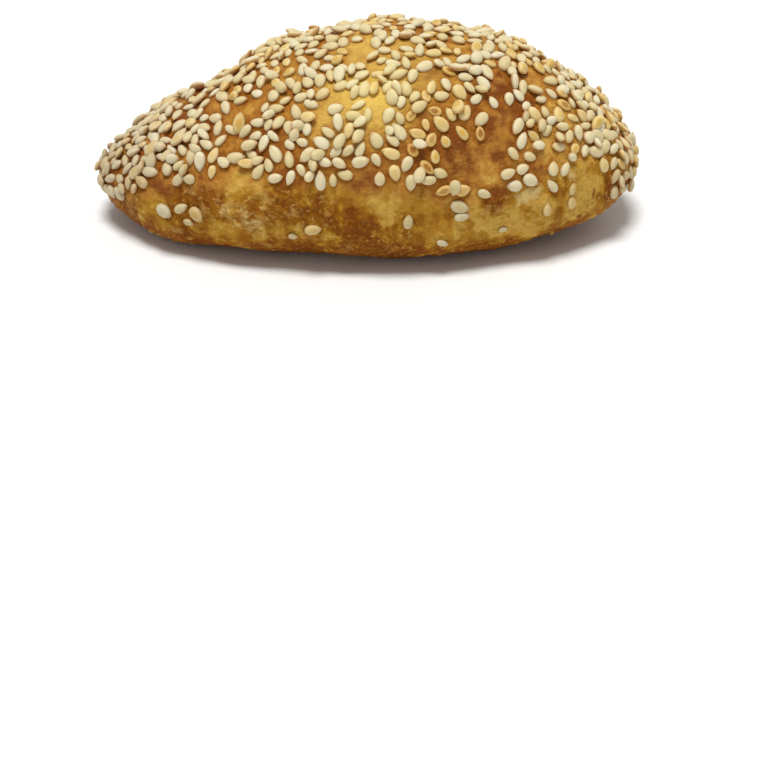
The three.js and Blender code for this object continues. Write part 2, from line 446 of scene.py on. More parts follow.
# Which seeds are golden or toasted, more of them at a spot on the shown side
TONE_START = 77
GOLDEN_SHARE = 0.16
TOASTED_SHARE = 0.005
TOASTED_SPOT = (0.3, 33, 8)
TOASTED_SPOT_SHARE = 0.7
GOLDEN_SPOT_SHARE = 0.45
GOLDEN_END_SHARE = 0.15
# Tints: dusky at the pointed end, painted shade low down, and yellow as the crust is
DUSKY_END = 0.5
LOW_SHADE_HEIGHTS = (12, 20)
SEED_YELLOWING = 0.3

# Camera, as the photograph was taken
CAMERA_ELEVATION = 24
CAMERA_DISTANCE = 380
CAMERA_TARGET_HEIGHT = 16
CAMERA_AIM = (2.3, -62.8, 0)
CAMERA_ROLL = 0.48
LENS = 94.1
CAMERA_CLIP = 10

# Light of the stage
OVERHEAD_PLACE = (-40, -80, 700)
OVERHEAD_STRENGTH = 2.75
OVERHEAD_SPREAD = 22
FILL_LIGHTS = (
    ("front_left", (-450, -500, 300), 0.3),
    ("back_right", (380, 520, 380), 0.7),
)
FILL_SIZE = 500
ROOM_STRENGTH = 0.32
BACKDROP_STRENGTH = 0.95
FLOOR_REACH = 3000
FLOOR_COLOURS = ((244, 244, 243), (240, 240, 239))
FLOOR_CLOUD_SIZE = 40


# The bun's form

def mix(a, b, share):
    return a + (b - a) * share


def smooth(low, high, value):
    share = np.clip((value - low) / (high - low), 0, 1)
    return share * share * (3 - 2 * share)


def wave(distance, length):
    return np.sin(2 * np.pi * distance / length)


def unit(vectors):
    return vectors / np.linalg.norm(vectors, axis=-1, keepdims=True)


def shifted(along, peak):
    """Moves the middle of a profile to its peak and keeps its two ends."""
    return (along - peak) / (1 - peak * along)


def profile(along, fullness):
    """A profile that is 1 in the middle and 0 at the ends."""
    power = mix(*fullness, smooth(-1, 1, along))
    return np.maximum(0, 1 - along * along) ** power


def belt(along):
    """Height of the bun's widest line."""
    middle = sum(TIP_HEIGHTS) / 2
    return mix(*TIP_HEIGHTS, (along + 1) / 2) + (BELT_HEIGHT - middle) * (1 - along * along)


def plain_point(along, angle):
    """Points of the plain bun: an ellipse above the belt, a squarer curve below."""
    across = np.cos(np.radians(angle))
    upward = np.sin(np.radians(angle))
    half_width = WIDTH / 2 * profile(shifted(along, WIDEST_AT), PLAN_FULLNESS)
    middle = belt(along)
    rise = (HEIGHT - middle) * profile(shifted(along, HIGHEST_AT), CREST_FULLNESS)
    drop = (middle + BASE_TRIM) * profile(along, UNDERSIDE_FULLNESS)
    power = 2 / UNDERSIDE_SQUARENESS
    above = upward >= 0
    sideways = np.where(above, across, np.sign(across) * np.abs(across) ** power)
    height = np.where(above, rise * upward, -drop * np.abs(upward) ** power)
    return np.stack([along * LENGTH / 2, -half_width * sideways, middle + height], axis=-1)


def nearness(points, along, angle, reach):
    """How strongly a place is felt at each point: 1 there, fading with distance."""
    centre = plain_point(np.float64(along), angle)
    return np.exp(-((points - centre) ** 2).sum(axis=-1) / reach**2)


def summed(points, places):
    """The strength of a list of places at each point."""
    return sum(strength * nearness(points, *place) for *place, strength in places)


def crust_point(along, angle):
    """Points of the crust, with swells, ripples and the flat base."""
    points = plain_point(along, angle)
    core = np.stack([points[..., 0] * CORE_SHARE, 0 * along, belt(along)], axis=-1)
    push = RIPPLE_DEPTH * wave(points[..., 0], RIPPLE_LENGTH)
    push = push * wave(points[..., 1] - points[..., 2], RIPPLE_WIDTH)
    for *place, depth in SWELLS:
        push = push + depth * nearness(points, *place)
    points = points + unit(points - core) * push[..., None]
    points[..., 2] = np.maximum(0, points[..., 2])
    return points


def crust_normal(along, angle):
    """The crust's outward directions."""
    lengthways = crust_point(along + ALONG_STEP, angle) - crust_point(along - ALONG_STEP, angle)
    around = crust_point(along, angle + ANGLE_STEP) - crust_point(along, angle - ANGLE_STEP)
    return unit(np.cross(lengthways, around))


# Where the seeds lie

def random_numbers(count, start):
    """Numbers from 0 to 1 that are the same on every run, as the solid's seeds have them."""
    steps = np.arange(1, count + 1, dtype=np.uint64) * np.uint64(0x6D2B79F5)
    state = ((np.uint64(start) + steps) & np.uint64(0xFFFFFFFF)).astype(np.uint32)
    mixed = (state ^ (state >> np.uint32(15))) * (state | np.uint32(1))
    mixed = (mixed + (mixed ^ (mixed >> np.uint32(7))) * (mixed | np.uint32(61))) ^ mixed
    return (mixed ^ (mixed >> np.uint32(14))) / 2.0**32


def seed_line(points, along):
    """Height down to which the seeds reach."""
    slanting = points[:, 0] + points[:, 1] - SEED_LINE_WAVE_START
    unevenness = SEED_LINE_WAVE * wave(slanting, SEED_LINE_WAVE_LENGTH)
    dip = np.where(along < 0, *SEED_LINE_DIPS) * np.abs(along) ** SEED_LINE_DIP_POWER
    return SEED_LINE - dip + unevenness


def seed_chance(points, along):
    """How likely the crust is to hold a seed there, from 0 to 1."""
    chance = np.clip((points[:, 2] - seed_line(points, along)) / SEED_LINE_SOFTNESS + 0.5, 0, 1)
    for patch in BARE_PATCHES:
        chance = chance * (1 - np.clip(PATCH_HARDNESS * nearness(points, *patch), 0, 1))
    return chance


def crowding(points, along):
    """How readily close seeds gather: in clumps and at both ends."""
    x, y, z = points.T
    clumps = wave(x + CLUMP_SLANT * y, CLUMP_LENGTH) * wave(y - z + CLUMP_SHIFT, CLUMP_WIDTH)
    ends = np.clip(np.abs(along) - ENDS_FROM, 0, 1)
    gathered = CLOSE_SHARE + CLUMP_STRENGTH * clumps + END_STRENGTH * ends
    thinned = np.clip(summed(points, THIN_PLACES), -1, 1)
    return np.clip(gathered, LEAST_SHARE, 1) * (1 - thinned)


def seeds_at(along, angle, heading, size):
    """Seeds lying on the crust, one row each, with their tips along the heading, in degrees."""
    facing = crust_normal(along, angle)
    lengthways = unit(np.array([1.0, 0, 0]) - facing * facing[:, :1])
    sideways = np.cross(facing, lengthways)
    turn = np.radians(heading)[:, None]
    return {
        "point": crust_point(along, angle),
        "facing": facing,
        "heading": lengthways * np.cos(turn) + sideways * np.sin(turn),
        "size": size,
        "lean": 0 * size,
    }


def lies_clear(seed, seeds, spacing, lobe_gap):
    """Whether a seed keeps its distance from all the others, middle to middle and lobe to lobe."""
    distance = np.linalg.norm(seeds["point"] - seed["point"], axis=1)
    if distance.min() < spacing:
        return False
    near = distance < LOBE_MARGIN * lobe_gap + 2 * LOBE_OFFSET
    gap = lobe_gap * (seeds["size"][near] + seed["size"]) / 2
    for side in (LOBE_OFFSET, -LOBE_OFFSET):
        lobe = seed["point"] + side * seed["heading"]
        for other_side in (LOBE_OFFSET, -LOBE_OFFSET):
            others = seeds["point"][near] + other_side * seeds["heading"][near]
            if (np.linalg.norm(others - lobe, axis=1) < gap).any():
                return False
    return True


def leaning(seed, seeds):
    """How much a seed leans on its nearest neighbour: 0 lying flat, 1 right on it."""
    distance = np.linalg.norm(seeds["point"] - seed["point"], axis=1)
    return 1 - smooth(*LEANING_GAPS, distance.min())


def scatter_seeds():
    """The strays, then random seeds in passes from wide to close spacing.

    The solid has the strays and the first pass. Later passes gather, and the last one only piles up.
    """
    seeds = seeds_at(*np.array(STRAY_SEEDS).T)
    all_tries = sum(tries for tries, *_ in PASSES)
    numbers = random_numbers(DRAWS_PER_TRY * all_tries, RANDOM_START).reshape(-1, DRAWS_PER_TRY)
    used = 0
    for turn, (tries, spacing, lobe_gap) in enumerate(PASSES):
        along_draw, angle_draw, heading_draw, size_draw, luck = numbers[used : used + tries].T
        used += tries
        along = 2 * along_draw - 1
        angle = mix(*ANGLE_LIMITS, angle_draw)
        size = 1 + SEED_SIZE_SPREAD * (2 * size_draw - 1)
        points = crust_point(along, angle)
        chance = seed_chance(points, along)
        if turn > 0:
            chance = chance * crowding(points, along)
        if turn == len(PASSES) - 1:
            chance = chance * np.clip(summed(points, PILED_PLACES), 0, 1)
        lucky = luck < chance
        tried = seeds_at(along[lucky], angle[lucky], 360 * heading_draw[lucky], size[lucky])
        for i in range(lucky.sum()):
            seed = {key: values[i] for key, values in tried.items()}
            if lies_clear(seed, seeds, spacing, lobe_gap):
                seed["lean"] = leaning(seed, seeds)
                seeds = {key: np.concatenate([seeds[key], [seed[key]]]) for key in seeds}
    fallen = seeds_at(*np.array(LATER_STRAYS).T)
    return {key: np.concatenate([seeds[key], fallen[key]]) for key in seeds}


# Short calls for node trees

def feed(tree, socket, value):
    """Links a socket to the one it is fed from, or sets it to a plain value."""
    if isinstance(value, bpy.types.NodeSocket):
        tree.links.new(value, socket)
    else:
        socket.default_value = value


def add_node(tree, kind, settings=None, **inputs):
    """A node with its settings and inputs, by name with underscores for spaces, or i and a number."""
    node = tree.nodes.new(kind)
    for name, value in (settings or {}).items():
        setattr(node, name, value)
    for name, value in inputs.items():
        by_number = name[1:].isdigit()
        feed(tree, node.inputs[int(name[1:]) if by_number else name.replace("_", " ")], value)
    return node


def calculate(tree, operation, *values):
    """The result of a calculation with numbers or sockets."""
    inputs = {f"i{i}": value for i, value in enumerate(values)}
    return add_node(tree, "ShaderNodeMath", {"operation": operation}, **inputs).outputs[0]


def product(tree, first, *others):
    """Numbers or sockets multiplied."""
    for other in others:
        first = calculate(tree, "MULTIPLY", first, other)
    return first


def calculate_vector(tree, operation, *values, scale=None):
    """The result of a calculation with vectors or sockets."""
    inputs = {f"i{i}": value for i, value in enumerate(values)}
    if scale is not None:
        inputs["Scale"] = scale
    return add_node(tree, "ShaderNodeVectorMath", {"operation": operation}, **inputs).outputs[0]


def named_value(tree, name, data_type="FLOAT"):
    """A geometry attribute, inside a geometry tree."""
    node = add_node(tree, "GeometryNodeInputNamedAttribute", {"data_type": data_type}, Name=name)
    return node.outputs["Attribute"]


def geometry_tree(name, sizes):
    """A geometry tree with one named input for each size, and its input and output nodes."""
    tree = bpy.data.node_groups.new(name, "GeometryNodeTree")
    tree.interface.new_socket("Geometry", in_out="INPUT", socket_type="NodeSocketGeometry")
    tree.interface.new_socket("Geometry", in_out="OUTPUT", socket_type="NodeSocketGeometry")
    for size, value in sizes.items():
        if isinstance(value, bpy.types.Object):
            kind = "NodeSocketObject"
        elif isinstance(value, int):
            kind = "NodeSocketInt"
        else:
            kind = "NodeSocketFloat"
        tree.interface.new_socket(size, in_out="INPUT", socket_type=kind)
    return tree, tree.nodes.new("NodeGroupInput").outputs, tree.nodes.new("NodeGroupOutput").inputs


def shape_with(piece, tree, sizes):
    """Runs a geometry tree on a piece and keeps the result as its plain mesh."""
    modifier = piece.modifiers.new(tree.name, "NODES")
    modifier.node_group = tree
    for socket in tree.interface.items_tree:
        if socket.in_out == "INPUT" and socket.name in sizes:
            modifier[socket.identifier] = sizes[socket.name]
    depsgraph = bpy.context.evaluated_depsgraph_get()
    made = bpy.data.meshes.new_from_object(
        piece.evaluated_get(depsgraph), preserve_all_data_layers=True, depsgraph=depsgraph
    )
    piece.modifiers.clear()
    started = piece.data
    piece.data = made
    bpy.data.meshes.remove(started)
    made.name = piece.name


def piece_from(name, points, faces=(), attributes=None):
    """A new object from points in millimetres, faces and named numbers or vectors at the points."""
    mesh = bpy.data.meshes.new(name)
    mesh.from_pydata(np.asarray(points) * MM, [], faces)
    for key, values in (attributes or {}).items():
        is_vector = np.ndim(values) == 2
        attribute = mesh.attributes.new(key, "FLOAT_VECTOR" if is_vector else "FLOAT", "POINT")
        attribute.data.foreach_set("vector" if is_vector else "value", np.float32(values).ravel())
    piece = bpy.data.objects.new(name, mesh)
    bpy.context.scene.collection.objects.link(piece)
    return piece


# Materials

def linear(red, green, blue):
    """A colour given as on a screen, from 0 to 255, as the light that a shader takes."""
    share = np.array([red, green, blue]) / 255
    light = np.where(share <= 0.04045, share / 12.92, ((share + 0.055) / 1.055) ** 2.4)
    return (*light.tolist(), 1.0)


def new_material(name, **constants):
    """A material, its tree and its shader, with the shader's even values set on its own sockets."""
    material = bpy.data.materials.new(name)
    material.use_nodes = True
    tree = material.node_tree
    shader = tree.nodes["Principled BSDF"]
    for key, value in constants.items():
        shader.inputs[key.replace("_", " ")].default_value = value
    return material, tree, shader


def noise(tree, size, detail=3.0, roughness=0.55, offset=(0, 0, 0), stretch=(1, 1, 1)):
    """Noise from 0 to 1 with features of a size in millimetres."""
    place = add_node(tree, "ShaderNodeTexCoord").outputs["Object"]
    moved = add_node(tree, "ShaderNodeMapping", Vector=place, Location=offset, Scale=stretch)
    node = add_node(
        tree, "ShaderNodeTexNoise",
        Vector=moved.outputs[0], Scale=1 / (size * MM), Detail=detail, Roughness=roughness,
    )
    return node.outputs[0]


def attribute(tree, name):
    """A number that the mesh carries."""
    return add_node(tree, "ShaderNodeAttribute", {"attribute_name": name}).outputs["Fac"]


def ranged(tree, value, low, high, to_low=0.0, to_high=1.0):
    """A value moved smoothly from one range to another, and kept inside it."""
    node = add_node(
        tree, "ShaderNodeMapRange", {"interpolation_type": "SMOOTHSTEP"},
        Value=value, From_Min=low, From_Max=high, To_Min=to_low, To_Max=to_high,
    )
    return node.outputs[0]


def blended(tree, share, first, second, mode="MIX"):
    """Two colours mixed by a share."""
    node = tree.nodes.new("ShaderNodeMix")
    node.data_type = "RGBA"
    node.blend_type = mode
    sockets = [node.inputs["Factor"], *[s for s in node.inputs if s.type == "RGBA"]]
    for socket, value in zip(sockets, (share, first, second)):
        feed(tree, socket, value)
    return next(s for s in node.outputs if s.type == "RGBA")


def weighted(tree, *parts):
    """A sum of values, each times its weight."""
    total = 0.0
    for value, weight in parts:
        total = add_node(
            tree, "ShaderNodeMath", {"operation": "MULTIPLY_ADD"}, i0=value, i1=weight, i2=total
        ).outputs[0]
    return total


def layered(tree, colour, layers):
    """A colour with colours of the crust laid over it, each by its share."""
    for name, share in layers:
        colour = blended(tree, share, colour, linear(*CRUST_COLOURS[name]))
    return colour


def stepped(tree, value, first, steps):
    """A colour that goes from the first to the last step as a value rises."""
    layers = [(name, ranged(tree, value, *edges)) for name, edges in steps]
    return layered(tree, linear(*CRUST_COLOURS[first]), layers)


def side_colour(tree, flecks, ragged):
    """The bare side, from pale gold to browned blotches, with light flecks and floury places, painted
    shade in its pits and, with the tray's browning, painted shade at its lower edge.
    """
    relief = attribute(tree, "relief")
    strength = ranged(tree, noise(tree, 1.6, detail=4, roughness=0.65), 0.35, 0.62, 0.3, 1.6)
    patches = product(tree, attribute(tree, "browning"), strength)
    blotches = weighted(
        tree, (noise(tree, 7, detail=3), 0.45), (noise(tree, 3.2, detail=4), 0.45), (relief, -0.25),
        (attribute(tree, "drip"), -0.6), (patches, 1.0),
    )
    mottling = noise(tree, 1.3, detail=5, roughness=0.62, offset=(0.2, 0, 0))
    fleck_places = ranged(tree, noise(tree, 10, detail=2), 0.4, 0.6, 0.15, 0.6)
    floury = weighted(tree, (attribute(tree, "floury"), 1.0), (ragged, 1.2), (flecks, 0.8))
    layers = (
        ("mottles", ranged(tree, mottling, 0.44, 0.62, 0, 0.32)),
        # painted shade in the relief's pits
        ("pit shade", ranged(tree, relief, 0.34, 0.26, 0, 0.32)),
        ("bubbles", ranged(tree, attribute(tree, "bubble"), 0.1, 0.9, 0, 0.5)),
        ("flecks", product(tree, ranged(tree, flecks, 0.57, 0.64), fleck_places)),
        ("flakes", ranged(tree, attribute(tree, "flake"), 0.2, 1, 0, 0.3)),
        ("flour", ranged(tree, floury, 1.15, 1.6, 0, 0.75)),
    )
    return layered(tree, stepped(tree, blotches, "pale side", SIDE_STEPS), layers)


def top_colour(tree):
    """The washed top, from light gold over orange-brown to red-brown, with pooled wash and painted shade
    round its seeds.
    """
    broad = noise(tree, 8, detail=3, roughness=0.6, offset=(0.3, 0, 0))
    fine = noise(tree, 2.2, detail=4)
    deep = weighted(tree, (broad, 0.65), (fine, 0.35), (attribute(tree, "browning"), 0.6))
    outer, inner = SEED_STAIN_AND_SHADE
    # pooled egg wash and painted shade darken the crust close to each seed
    stain_and_shade = ranged(tree, attribute(tree, "seed_gap"), outer * MM, inner * MM, 0, 0.5)
    return layered(tree, stepped(tree, deep, "light top", TOP_STEPS), [("seed stain and shade", stain_and_shade)])


def crust_material():
    """Baked dough: mottled gold low down, egg-washed brown above the seed line, a yellow bare patch."""
    material, tree, shader = new_material(
        "baked_crust", Specular_IOR_Level=0.1, Subsurface_Weight=0.2, Subsurface_Scale=1.2 * MM,
        Subsurface_Radius=(1, 0.45, 0.15),
    )
    runs = noise(tree, 4, detail=3, roughness=0.55, offset=(0, 0, 0.7), stretch=(1, 1, 0.3))
    washed = ranged(tree, weighted(tree, (attribute(tree, "washed"), 1.0), (runs, 2.0)), 1.05, 1.95)
    flecks = noise(tree, 0.8, detail=4, roughness=0.6, offset=(0, 0.2, 0))
    ragged = noise(tree, 1.1, detail=4, roughness=0.6, offset=(0, 0, 0.4))
    scorched = weighted(tree, (attribute(tree, "scorched"), 1.0), (ragged, 1.0))
    layers = (
        ("yellow", attribute(tree, "yellow")),
        ("scorches", ranged(tree, scorched, 0.72, 0.95, 0, 0.85)),
        ("specks", ranged(tree, noise(tree, 0.7, detail=1), 0.7, 0.76, 0, 0.4)),
    )
    colour = blended(tree, washed, side_colour(tree, flecks, ragged), top_colour(tree))
    tree.links.new(layered(tree, colour, layers), shader.inputs["Base Color"])
    roughness = ranged(tree, washed, 0, 1, BARE_ROUGHNESS, WASHED_ROUGHNESS)
    tree.links.new(roughness, shader.inputs["Roughness"])
    grain = weighted(tree, (noise(tree, 0.45, detail=4, roughness=0.6), 1.0), (flecks, 2.4))
    bump = add_node(
        tree, "ShaderNodeBump", Strength=0.75, Distance=GRAIN_DEPTH * MM, Height=grain
    )
    tree.links.new(bump.outputs[0], shader.inputs["Normal"])
    return material


def seed_material(name, *colours):
    """A seed's skin, lighter or darker from seed to seed, with other colours at its tip and heart, and
    painted shade round its lower rim.
    """
    material, tree, shader = new_material(
        name, Roughness=0.5, Specular_IOR_Level=0.3, Subsurface_Weight=0.35, Subsurface_Scale=0.8 * MM,
        Subsurface_Radius=(1, 0.85, 0.55),
    )
    light, dark, tip, heart = [linear(*colour) for colour in colours]
    tone = attribute(tree, "tone")
    place = add_node(tree, "ShaderNodeAttribute", {"attribute_name": "drop"}).outputs["Vector"]
    _, upward, lengthways = add_node(tree, "ShaderNodeSeparateXYZ", Vector=place).outputs
    middle = calculate(tree, "ADD", upward, product(tree, noise(tree, 0.7, detail=2), 0.2))
    strength = ranged(tree, tone, 0, 0.8, 0.3, 1)
    layers = (
        (ranged(tree, lengthways, 0.45, 0.95, 0, 0.6), tip),
        # the tip colour round the lower rim: the seed's warm edge, and painted shade where it meets the
        # crust
        (ranged(tree, upward, 0.5, -0.3, 0, 0.85), tip),
        (product(tree, ranged(tree, middle, 0.78, 0.98), strength), heart),
        (ranged(tree, noise(tree, 0.8, detail=2), 0.4, 0.75, 0, 0.3), dark),
        (attribute(tree, "yellow"), linear(*SEED_TINTS["yellow"])),
        (attribute(tree, "dusky"), linear(*SEED_TINTS["dusky"])),
    )
    colour = blended(tree, tone, light, dark)
    for share, laid_over in layers:
        colour = blended(tree, share, colour, laid_over)
    # painted shade darkens the seeds low down
    colour = blended(tree, attribute(tree, "dull"), colour, linear(*SEED_TINTS["dull"]), "MULTIPLY")
    tree.links.new(colour, shader.inputs["Base Color"])
    grain = noise(tree, 0.35, detail=3)
    bump = add_node(
        tree, "ShaderNodeBump", Strength=0.3, Distance=SEED_GRAIN_DEPTH * MM, Height=grain
    )
    tree.links.new(bump.outputs[0], shader.inputs["Normal"])
    return material


def floor_material():
    """A plain pale floor."""
    material, tree, shader = new_material("pale_floor", Roughness=0.8)
    lighter, darker = [linear(*colour) for colour in FLOOR_COLOURS]
    tint = blended(tree, noise(tree, FLOOR_CLOUD_SIZE, detail=2), lighter, darker)
    tree.links.new(tint, shader.inputs["Base Color"])
    return material


# The crust

def crust_ball():
    """Places and faces of an even net over the bun: a split cube blown round, with more of it on top."""
    net = bmesh.new()
    bmesh.ops.create_cube(net, size=2)
    bmesh.ops.subdivide_edges(net, edges=net.edges[:], cuts=CRUST_SPLITS - 1, use_grid_fill=True)
    corners = np.array([corner.co for corner in net.verts])
    faces = [[corner.index for corner in face.verts] for face in net.faces]
    net.free()
    directions = unit(np.tan(corners * np.pi / 4))
    turn = np.arctan2(directions[:, 2], -directions[:, 1])
    angle = np.degrees(turn + CRUST_CROWDING * np.cos(turn))
    return directions[:, 0], angle, faces


def crust_relief_tree(sizes):
    """Puffs, blisters, drips, bubbles, flakes and seed sockets, pushed along the crust's normals."""
    tree, inputs, outputs = geometry_tree("crust_relief", sizes)
    place = tree.nodes.new("GeometryNodeInputPosition").outputs[0]
    normal = tree.nodes.new("GeometryNodeInputNormal").outputs[0]

    def lumps(size, detail, roughness=0.5, stretch=(1, 1, 1)):
        node = add_node(
            tree, "ShaderNodeTexNoise", {"noise_dimensions": "4D"},
            Vector=calculate_vector(tree, "MULTIPLY", place, stretch), W=inputs["Seed"],
            Scale=calculate(tree, "DIVIDE", 1 / MM, inputs[size]), Detail=detail, Roughness=roughness,
        )
        return node.outputs[0]

    # hollows under the seeds
    seeds = add_node(tree, "GeometryNodeObjectInfo", Object=inputs["Seed Places"])
    nearest = add_node(
        tree, "GeometryNodeProximity", {"target_element": "POINTS"}, i0=seeds.outputs["Geometry"],
    )
    gap = nearest.outputs["Distance"]
    share = calculate(tree, "DIVIDE", gap, product(tree, inputs["Socket Reach"], MM))
    socket = calculate(tree, "EXPONENT", product(tree, share, share, -1.0))

    # lumps of the dough, weaker under the egg wash
    bare = ranged(tree, named_value(tree, "washed"), 0, 1, 1, 1 - WASHED_SMOOTHNESS)
    puffs = lumps("Puff Size", 2.0)
    blisters = lumps("Blister Size", 4.0)
    drips = lumps("Drip Size", 2.0, 0.5, DRIP_STRETCH)
    cells = add_node(
        tree, "ShaderNodeTexVoronoi", {"voronoi_dimensions": "4D"},
        Vector=place, W=inputs["Seed"], Scale=calculate(tree, "DIVIDE", 1 / MM, inputs["Bubble Spacing"]),
    )
    chosen = add_node(tree, "FunctionNodeSeparateColor", Color=cells.outputs["Color"]).outputs[0]
    inside = ranged(tree, cells.outputs["Distance"], *BUBBLE_EDGE)
    bubbles = product(tree, inside, ranged(tree, chosen, *BUBBLE_CHANCE))
    flaky = ranged(tree, lumps("Flaky Place Size", 1.0), *FLAKY_PLACE_EDGE)
    flakes = product(tree, ranged(tree, lumps("Flake Size", 5.0, 0.68), *FLAKE_EDGE), flaky, bare)

    push = weighted(
        tree, (calculate(tree, "SUBTRACT", puffs, 0.5), inputs["Puff Depth"]),
        (product(tree, calculate(tree, "SUBTRACT", blisters, 0.5), bare), inputs["Blister Depth"]),
        (product(tree, calculate(tree, "SUBTRACT", drips, 0.5), bare), inputs["Drip Depth"]),
        (product(tree, bubbles, bare), inputs["Bubble Height"]), (flakes, inputs["Flake Height"]),
        (socket, product(tree, inputs["Socket Depth"], -1.0)),
    )
    push = product(tree, push, named_value(tree, "off_base"), MM)
    kept = inputs["Geometry"]
    values = {"seed_gap": gap, "relief": blisters, "drip": drips, "bubble": bubbles, "flake": flakes}
    for name, value in values.items():
        kept = add_node(
            tree, "GeometryNodeStoreNamedAttribute", {"data_type": "FLOAT", "domain": "POINT"},
            Geometry=kept, Name=name, Value=value,
        ).outputs[0]
    moved = add_node(
        tree, "GeometryNodeSetPosition",
        Geometry=kept, Offset=calculate_vector(tree, "SCALE", normal, scale=push),
    )
    rounded = add_node(tree, "GeometryNodeSetShadeSmooth", Geometry=moved.outputs[0])
    finished = add_node(
        tree, "GeometryNodeSetMaterial", Geometry=rounded.outputs[0], Material=crust_material()
    )
    tree.links.new(finished.outputs[0], outputs["Geometry"])
    return tree


def make_crust(seed_places):
    """The crust, with the numbers that its relief and its colours read."""
    along, angle, faces = crust_ball()
    points = crust_point(along, angle)
    height = points[:, 2]
    unwashed = np.clip(summed(points, UNWASHED_PLACES), 0, 1)
    # tray browning and painted shade darken the crust towards its base
    low = 1 - smooth(*BROWNED_AND_SHADED_EDGE, height)
    crust = piece_from(
        "crust", points, faces,
        {
            "washed": smooth(*WASH_EDGE, height - seed_line(points, along)) * (1 - unwashed),
            "off_base": smooth(*BASE_EDGE, height),
            "browning": summed(points, BROWNING) + EDGE_BROWNING_AND_SHADE * low,
            "yellow": np.clip(summed(points, YELLOW_PATCHES), 0, 1),
            "floury": np.clip(summed(points, FLOURY_PATCHES), 0, 1),
            "scorched": np.clip(summed(points, SCORCHES), 0, 1),
        },
    )
    sizes = {**RELIEF, "Seed Places": seed_places}
    shape_with(crust, crust_relief_tree(sizes), sizes)
    return crust


# The seeds

def random_vector(tree, reach, seed):
    """A random vector for each point, up to a reach either way."""
    node = add_node(
        tree, "FunctionNodeRandomValue", {"data_type": "FLOAT_VECTOR"},
        i0=tuple(-share for share in reach), i1=reach, Seed=seed,
    )
    return node.outputs[0]


def drop_mesh(tree, inputs):
    """A flat drop made from a ball, with its tip along Z, that keeps its places on the ball."""
    ball = add_node(
        tree, "GeometryNodeMeshUVSphere", Segments=SEED_SEGMENTS, Rings=SEED_RINGS, Radius=1.0
    )
    place = tree.nodes.new("GeometryNodeInputPosition").outputs[0]
    x, y, z = add_node(tree, "ShaderNodeSeparateXYZ", Vector=place).outputs
    narrowing = calculate(tree, "POWER", calculate(tree, "SUBTRACT", 1.0, z), inputs["Taper"])
    upper = calculate(tree, "MAXIMUM", y, 0.0)
    dent = product(tree, calculate(tree, "POWER", upper, HOLLOW_POWER), inputs["Hollow"])
    flat = calculate(tree, "POWER", calculate(tree, "ABSOLUTE", y), inputs["Flatness"])
    thick = calculate(tree, "SUBTRACT", product(tree, flat, calculate(tree, "SIGN", y)), dent)
    half = {size: product(tree, inputs[size], 0.5 * MM) for size in ("Length", "Width", "Thickness")}
    shape = add_node(
        tree, "ShaderNodeCombineXYZ",
        X=product(tree, x, narrowing, half["Width"]),
        Y=product(tree, thick, narrowing, half["Thickness"]),
        Z=product(tree, z, half["Length"]),
    )
    marked = add_node(
        tree, "GeometryNodeStoreNamedAttribute", {"data_type": "FLOAT_VECTOR", "domain": "POINT"},
        Geometry=ball.outputs["Mesh"], Name="drop", Value=place,
    )
    drop = add_node(
        tree, "GeometryNodeSetPosition", Geometry=marked.outputs[0], Position=shape.outputs[0]
    )
    return drop.outputs[0]


def laid_points(tree, inputs):
    """The seeds' points on the crust as it was finished, raised by what isn't sunk and by their lean."""
    crust = add_node(tree, "GeometryNodeObjectInfo", Object=inputs["Crust"])
    on_crust = add_node(
        tree, "GeometryNodeSampleNearestSurface", {"data_type": "FLOAT_VECTOR"},
        Mesh=crust.outputs["Geometry"], Value=tree.nodes.new("GeometryNodeInputPosition").outputs[0],
    )
    showing = calculate(tree, "SUBTRACT", 0.5, inputs["Sunk"])
    height = product(tree, inputs["Thickness"], showing, named_value(tree, "size"))
    height = weighted(tree, (height, MM), (named_value(tree, "lean"), LEANING_LIFT * MM))
    facing = named_value(tree, "facing", "FLOAT_VECTOR")
    laid = add_node(
        tree, "GeometryNodeSetPosition", Geometry=inputs["Geometry"],
        Position=on_crust.outputs["Value"], Offset=calculate_vector(tree, "SCALE", facing, scale=height),
    )
    return laid.outputs[0]


def seed_rotation(tree, inputs):
    """Each seed's turn to its heading, with a random tilt that grows with its lean."""
    turned = add_node(
        tree, "FunctionNodeAxesToRotation", {"primary_axis": "Z", "secondary_axis": "Y"},
        i0=named_value(tree, "heading", "FLOAT_VECTOR"), i1=named_value(tree, "facing", "FLOAT_VECTOR"),
    )
    tilt = ranged(
        tree, named_value(tree, "lean"), 0, 1, math.radians(FLAT_TILT), math.radians(LEANING_TILT)
    )
    either_way = random_vector(tree, TILT_SHARES, inputs["Seed"])
    tilted = add_node(
        tree, "FunctionNodeEulerToRotation", i0=calculate_vector(tree, "SCALE", either_way, scale=tilt)
    )
    rotation = add_node(
        tree, "FunctionNodeRotateRotation", {"rotation_space": "LOCAL"},
        i0=turned.outputs[0], i1=tilted.outputs[0],
    )
    return rotation.outputs[0]


